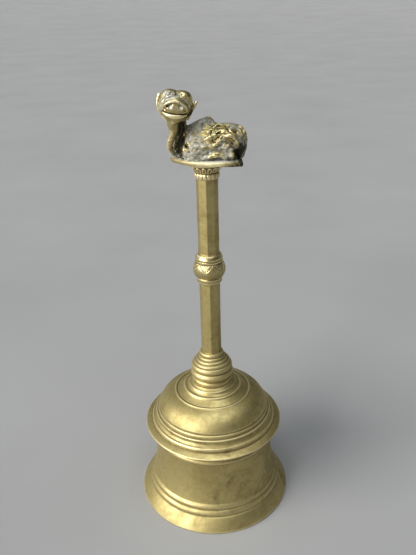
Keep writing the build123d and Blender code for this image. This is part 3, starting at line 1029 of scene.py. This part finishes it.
def sculpt_details(clay):
    front = clay.skin()

    def line(path, blend=0.3, lift=0.0, carve=False):
        clay.strand(clay.drape(front, path, lift), blend, carve)

    def spot(x, z, radii, blend=0.4, lift=0.0, carve=False):
        (x, y, z, _), = clay.drape(front, [(x, z, 0)], lift)
        clay.blob((x, y, z), radii, blend, carve=carve)

    line([
        (6.4, 194.1, 0.4), (8.4, 193.2, 0.9), (10.4, 191.7, 1.3), (12.1, 189.9, 1.5),
        (13.4, 188.0, 1.5),
    ], 0.3, -0.2, True)
    line([(13.2, 188.4, 1.1), (12.9, 186.8, 1.4), (12.4, 185.2, 1.4)], 0.5, -0.4, True)
    spot(12.8, 196.2, (1.8, 1.3, 1.9), 0.8, 0.3, True)
    line([
        (8.2, 195.1, 0.7), (9.6, 195.1, 1.0), (11.3, 194.4, 1.05), (12.8, 192.9, 0.95),
        (13.9, 191.0, 0.8), (14.5, 189.2, 0.55),
    ], 0.2, 0.35)
    line([
        (7.6, 198.0, 0.3), (10.0, 198.4, 0.4), (12.8, 198.1, 0.42), (15.2, 196.9, 0.42),
        (16.2, 194.8, 0.42), (16.4, 191.0, 0.4),
    ], 0.25, 0.2)
    line([
        (8.8, 197.0, 0.25), (11.2, 197.5, 0.36), (13.2, 197.3, 0.38), (14.6, 196.0, 0.38),
        (15.3, 193.8, 0.35), (15.5, 190.6, 0.3),
    ], 0.25, 0.2)
    spot(1.0, 196.2, (1.0, 0.9, 1.25), 0.5, 0.1)
    spot(1.3, 194.0, (1.5, 0.9, 1.5), 0.7, 0.0)
    spot(3.3, 194.9, (1.5, 1.0, 1.2), 0.6, 0.1)
    spot(4.3, 191.8, (1.4, 0.8, 1.1), 0.7, 0.0)
    for path in (
        [(3.4, 197.6, 0.3), (5.2, 198.3, 0.6), (7.3, 198.2, 0.35)],
        [(4.4, 196.1, 0.3), (6.0, 196.7, 0.6), (7.8, 197.0, 0.35)],
        [(2.9, 195.6, 0.3), (4.4, 195.1, 0.6), (5.9, 195.3, 0.4)],
        [(7.8, 196.5, 0.35), (9.1, 195.9, 0.6), (10.2, 195.2, 0.5)],
        [(5.9, 194.3, 0.3), (7.0, 195.2, 0.45), (8.2, 195.6, 0.3)],
    ):
        line(path, 0.2, 0.3)
    for path in (
        [(3.4, 196.8, 0.2), (5.6, 197.45, 0.34), (8.0, 197.7, 0.25)],
        [(3.6, 195.6, 0.2), (5.4, 195.9, 0.34), (7.4, 196.2, 0.25)],
        [(7.9, 198.2, 0.2), (9.4, 196.9, 0.4), (11.2, 196.0, 0.3)],
        [(2.6, 197.2, 0.25), (2.15, 195.4, 0.34), (2.7, 193.5, 0.34), (4.0, 192.6, 0.25)],
    ):
        line(path, 0.2, 0.0, True)
    ring = np.linspace(0, 2 * math.pi, 13)
    line([(5.4 + 2.0 * math.cos(a), 192.6 + 1.8 * math.sin(a), 0.3) for a in ring], 0.3, 0.0, True)
    spot(5.4, 192.6, (1.4, 0.6, 1.3), 0.4, 0.2)
    line([
        (-4.6, 191.3, 0.25), (-2.2, 190.6, 0.4), (0.4, 191.2, 0.4), (2.6, 190.3, 0.4),
        (4.4, 189.0, 0.3),
    ], 0.5, 0.0)
    line([
        (-3.8, 189.9, 0.3), (-1.4, 189.3, 0.35), (1.4, 189.7, 0.35), (3.0, 188.8, 0.3),
    ], 0.6, 0.1, True)
    line([
        (-0.6, 186.2, 0.5), (1.6, 187.1, 0.9), (3.9, 187.8, 1.1), (6.2, 187.4, 1.0),
        (8.4, 186.8, 1.1),
    ], 0.4, 0.5)
    line([
        (0.4, 188.6, 0.3), (3.4, 189.3, 0.35), (6.6, 188.8, 0.35), (8.6, 188.1, 0.3),
    ], 0.4, 0.2, True)
    spot(10.7, 187.2, (1.5, 1.5, 1.4), 0.4, 0.4)
    curls = ((9.2, 191.1, 1.1), (10.2, 189.6, 1.0), (8.4, 189.8, 0.9), (7.6, 191.4, 0.8))
    for x, z, size in curls:
        spot(x, z, (size, size * 0.8, size), 0.5, 0.1)
    spot(-8.1, 191.0, (0.6, 1.4, 1.1), 0.4, 0.2, True)
    spot(-6.9, 188.8, (0.5, 0.8, 0.5), 0.4, 0.2, True)


# Spots rubbed bright on the bull, which also carry painted highlights: x, z, size, and how
# strongly the crust is rubbed away.
WORN_AND_HIGHLIT = [
    (1.0, 196.4, 1.05, 0.9), (4.6, 197.2, 1.5, 0.9), (5.8, 196.2, 1.5, 0.8),
    (8.9, 196.3, 0.9, 0.6), (1.4, 193.6, 1.05, 0.6), (3.4, 194.6, 1.2, 0.55),
    (9.8, 195.1, 1.05, 1.3), (11.6, 194.2, 0.825, 1.2), (12.6, 192.8, 0.6, 0.7),
    (6.3, 197.9, 0.9, 0.6), (4.0, 187.6, 0.975, 0.9), (1.6, 187.0, 0.9, 0.8),
    (6.4, 187.4, 0.9, 0.8), (10.8, 187.0, 0.975, 0.4), (3.8, 191.9, 0.825, 0.5),
    (-1.5, 195.6, 1.125, 0.25), (0.0, 192.5, 1.5, 0.2), (16.2, 194.0, 0.9, 0.4),
    (15.4, 196.4, 0.9, 0.5), (8.0, 198.2, 1.125, 0.4),
]


# Painted shadows in deep places on the bull's near side: x, z, size and strength.
PAINTED_SHADOWS = [
    (-8.1, 191.0, 0.75, 0.9), (13.2, 187.6, 1.3, 1.5), (12.6, 185.6, 1.1, 1.0),
    (10.6, 191.7, 0.7, 0.6), (8.3, 193.0, 0.5, 0.6), (12.6, 196.0, 0.8, 0.35),
    (14.6, 187.6, 1.0, 0.4), (9.6, 197.0, 0.6, 0.4), (14.0, 191.6, 0.7, 0.6),
    (15.4, 189.2, 1.1, 0.6),
]


# Painted shadows on the face, in the nostrils and on the shaded cheek: across, forward, up, size
# and strength.
HEAD_SHADOWS = [
    (-3.2, 7.6, -0.5, 0.5, 1.1), (1.2, 7.6, 0.1, 0.3, 0.7),
    (6.0, 2.8, -2.8, 1.5, 0.9), (6.3, 2.2, 0.4, 0.9, 0.4),
]


# Spots of polish ash left on the head: across, forward, up, size and strength.
HEAD_ASH = [
    (-1.8, 7.6, -0.75, 0.55, 2.2), (2.1, 7.2, -0.4, 0.6, 2.3), (-5.8, 3.5, 0.0, 1.1, 0.7),
    (-5.4, 3.5, -3.0, 1.3, 0.6), (0.2, 4.5, 4.2, 1.2, 0.5), (-2.8, 4.8, 2.6, 1.3, 0.8),
    (5.3, 4.4, 0.0, 0.9, 0.5), (3.6, 4.8, 2.2, 0.6, 0.9), (-1.0, 5.0, 3.2, 1.6, 0.55),
    (-3.6, 4.0, 4.2, 1.2, 0.7), (-4.4, 4.0, 2.4, 0.9, 0.4),
]


def unit(value):
    """The value, held between 0 and 1."""
    return np.clip(value, 0, 1)


def fade(value, width):
    """1 where the value is 0, fading away on both sides."""
    return np.exp(-(value / width) ** 2)


def near_spots(points, spots):
    """How strongly each point is covered by soft spots: place, size and strength."""
    cover = np.zeros(len(points))
    for *place, size, strength in spots:
        cover += strength * np.exp(-((points - place) ** 2).sum(1) / (2 * size ** 2))
    return cover


def wear_the_bull(made):
    """Stores where the bull is hollow, rubbed bright with painted highlights, caked with ash, and
    black with grime and painted shade.
    """
    points, normals, broad = standing(made, 45)
    fine = standing(made, 8)[2]
    x, y, z = points.T
    flat = points[:, [0, 2]]
    in_head = (points - HEAD_AT) @ HEAD_AXES
    across, forward, up = in_head.T
    head = unit((z - 199.5) / 2.5) * unit((-x - 2) / 3)
    hollow = unit(0.6 * unit(-broad / 0.55) + 0.6 * unit(-fine / 0.10))
    ridge_and_highlight = unit(0.6 * unit(broad / 0.5) + 0.6 * unit(fine / 0.09))

    # Lightened: the worn places, rubbed bright and also given painted highlights; the lower lip,
    # the chin and the left-facing edge of the strap, as painted highlights.
    worn_and_highlit = near_spots(flat, WORN_AND_HIGHLIT)
    worn_and_highlit = np.clip(np.where(y < -3, worn_and_highlit, 0.3 * worn_and_highlit), 0, 1.3)
    path = np.array(STRAP)[::-1]
    path_x, path_y = (np.interp(z, path[:, 2], path[:, k]) for k in (0, 1))
    strap = fade(x - path_x, 1.8) * (y < path_y + 0.6) * (z < 202)
    lip = fade(up + 4.0 - 0.03 * across ** 2, 0.65) * (forward > 4) * (np.abs(across) < 4.6)
    chin = fade(across, 2.5) * fade(up + 6.2, 1.4) * (forward > 2)
    # The mouth slit, darkened with painted shade.
    mouth = fade(up + 3.12 - 0.012 * across ** 2, 0.24)
    mouth = head * mouth * (forward > 4.5) * (np.abs(across) < 5.2)
    # Ridges stay bright on the head and the worn places; the lower lip and chin get painted
    # highlights.
    ridge_and_highlight = ridge_and_highlight * unit(0.3 + worn_and_highlit + head) + head * (0.8 * lip + 0.4 * chin)
    # The strap's left-facing edge gets a painted highlight; the mouth slit is kept dark.
    ridge_and_highlight = unit(ridge_and_highlight + 0.8 * strap * unit(0.25 - normals[:, 0]) - 1.2 * mouth)

    # Black with grime in the chased lines and hollows, and painted shade in deep places, in the
    # gap behind the neck, over the right end, in the mouth slit and on faces turned down.
    # Painted shadows in deep places on the near side and on the face.
    shadow_spots = unit(near_spots(flat, PAINTED_SHADOWS) * (y < 0) - 0.6 * ridge_and_highlight)
    shadow_spots = shadow_spots + near_spots(in_head, HEAD_SHADOWS)
    lines = unit(-fine / 0.10 - 0.2) * unit(worn_and_highlit)
    # Painted shadow in the gap behind the neck.
    gap = unit((-8.0 - x) / 1.6) * unit((203.0 - z) / 3.0) * unit(1.3 - strap * 2)
    gap = 0.85 * gap * unit((y + 10) / 1.5) * unit((-1.0 - y) / 2.5)
    # Painted shade over the right end of the body, less where rubbed.
    rump_shade = unit((x - 11) / 4) * (1 - 0.7 * unit(worn_and_highlit))
    grime_and_shade = 0.5 * rump_shade * (1 - ridge_and_highlight) + gap + lines + shadow_spots + 1.3 * mouth
    # Grime in the deeper hollows; painted shade on surfaces that face down.
    grime_and_shade = grime_and_shade + 0.8 * unit(hollow - 0.35) + 0.35 * unit(-normals[:, 2])

    # Caked with polish ash: most of the body, less on the head, none where it is rubbed.
    ash = 0.66 * (1 - head) + 0.22 * head - 0.75 * worn_and_highlit - 0.5 * strap
    ash = ash + 0.6 * unit((189 - z) / 2) * (y < 0)
    ash = ash + 0.75 * unit(hollow - 0.1) - 0.9 * unit(ridge_and_highlight - 0.15)
    ash = ash + 0.45 * head * unit((1.5 - forward) / 3) + near_spots(in_head, HEAD_ASH)
    # No ash where shade is painted, nor in the chased lines.
    ash = ash - gap - shadow_spots - lines - 1.5 * mouth

    set_attribute(made, "hollow", hollow)
    set_attribute(made, "ridge_and_highlight", ridge_and_highlight)
    set_attribute(made, "ash", np.clip(ash, -1, 2))
    set_attribute(made, "grime_and_shade", unit(grime_and_shade))


def bull(material):
    low, high = (np.array(corner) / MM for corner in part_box("bull_figure"))
    clay = Clay((low - 1.2).tolist(), (high + 1.2).tolist(), CLAY_PITCH)
    sculpt_body(clay)
    sculpt_neck(clay)
    sculpt_details(clay)
    sculpt_head(clay)
    random = np.random.default_rng(CLAY_SEED)
    x, y, z = np.meshgrid(*clay.axes, indexing="ij", sparse=True)
    face = 0.25 + 0.4 * unit((y + 8) / 3)
    curls = fade(x - 8, 6) * fade(z - 195.5, 3)
    crust = np.clip((200.5 - z) / 3, face, 1) * (1 - 0.7 * curls)
    for spacing, height in CRUST_BUMPS:
        clay.roughen(spacing, height, random, crust)
    clay.field = np.maximum(clay.field, (PLATE_TOP_Z - 0.1 - z).astype(np.float32))
    clay.field = np.maximum(clay.field, (z - high[2] + 0.05).astype(np.float32))
    made = clay.mesh("nandi_bull")
    wear_the_bull(made)
    return finish_piece(made, "bell", "figure_brass", material, "bull_figure")


def coat(material, *nodes):
    """Gives CAD pieces, which keep their shape, a material."""
    for node in nodes:
        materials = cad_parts[node].data.materials
        materials.clear()
        materials.append(material)


camera()
studio()
floor()
bell_brass = brass("bell_brass", tarnish=0.55, roughness=0.46, lines=0.35, pits=0.6)
handle_brass = brass("handle_brass", tarnish=0.35, roughness=0.44, lines=0.2, pits=0.6)
shaft_brass = brass("shaft_brass", tarnish=0.35, roughness=0.46, pits=0.9)
knop_brass = brass("knop_brass", tarnish=0.3, roughness=0.30, pits=0.4, ash=1)
plate_brass = brass("plate_brass", tarnish=0.2, roughness=0.34, pits=0.5,
                    ash=1, grime_and_shade=1, rub_and_highlight=0.75)
foot_brass = brass("foot_brass", tarnish=0.6, roughness=0.50, lines=0.2, pits=0.6, rub_and_highlight=0.15)
capital_brass = brass("capital_brass", tarnish=0.5, roughness=0.38, pits=0.6, rub_and_highlight=0.75)
bull_brass = brass("bull_brass", tarnish=0.3, roughness=0.36, pits=0.4, ash=1, grime_and_shade=1, rub_and_highlight=0.85)
bell_shell(bell_brass)
handle_foot(foot_brass)
shaft("lower_grip", "lower_shaft", 0, shaft_brass)
shaft("upper_grip", "upper_shaft", -6.4, shaft_brass)
handle_knop(knop_brass)
capital(capital_brass)
figure_plate(plate_brass)
bull(bull_brass)
coat(iron("dark_iron"), "tie_rod", "crown_washer", "crown_nut", "clapper_link", "clapper_stem")
coat(handle_brass, "clapper_ball", "figure_rivets")
